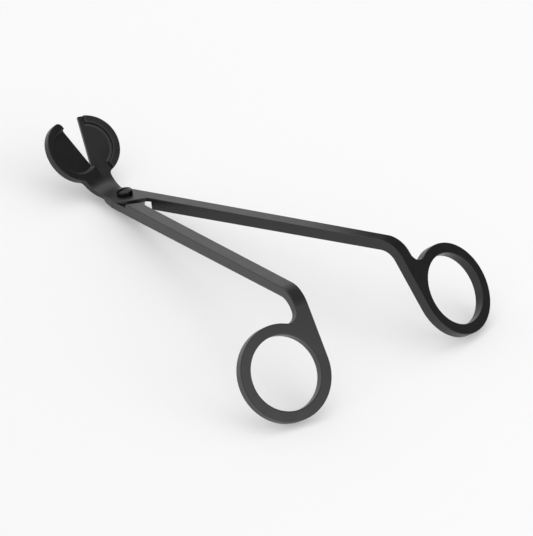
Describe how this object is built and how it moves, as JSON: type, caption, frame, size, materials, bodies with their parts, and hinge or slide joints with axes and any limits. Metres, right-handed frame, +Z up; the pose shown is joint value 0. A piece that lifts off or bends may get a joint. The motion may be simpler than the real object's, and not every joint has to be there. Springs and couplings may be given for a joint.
{
  "type": "wick trimmer",
  "caption": "Black scissor-like wick trimmer with raised half-disc blades that catch the cut wick, long arms and bent-down finger rings.",
  "frame": {"origin": "centre of the overall box, at the level of the table the trimmer stands on", "axes": "+Z up, +X from the blades to the finger rings, +Y towards the upper lever's ring"},
  "size_m": [0.1758, 0.1164, 0.0335],
  "materials": {
    "black_coat": "satin",
    "screw_black": "semi-gloss"
  },
  "bodies": {
    "lower": {"lower_lever": "black_coat", "pivot_screw": "screw_black"},
    "upper": {"upper_lever": "black_coat"}
  },
  "joints": [
    {"name": "pivot", "type": "hinge", "parent": "lower", "child": "upper", "pos_m": [-0.05211, 0, 0.00429], "axis": [-0.2411, 0, 0.9705], "range_deg": [-21.28, 24]}
  ]
}
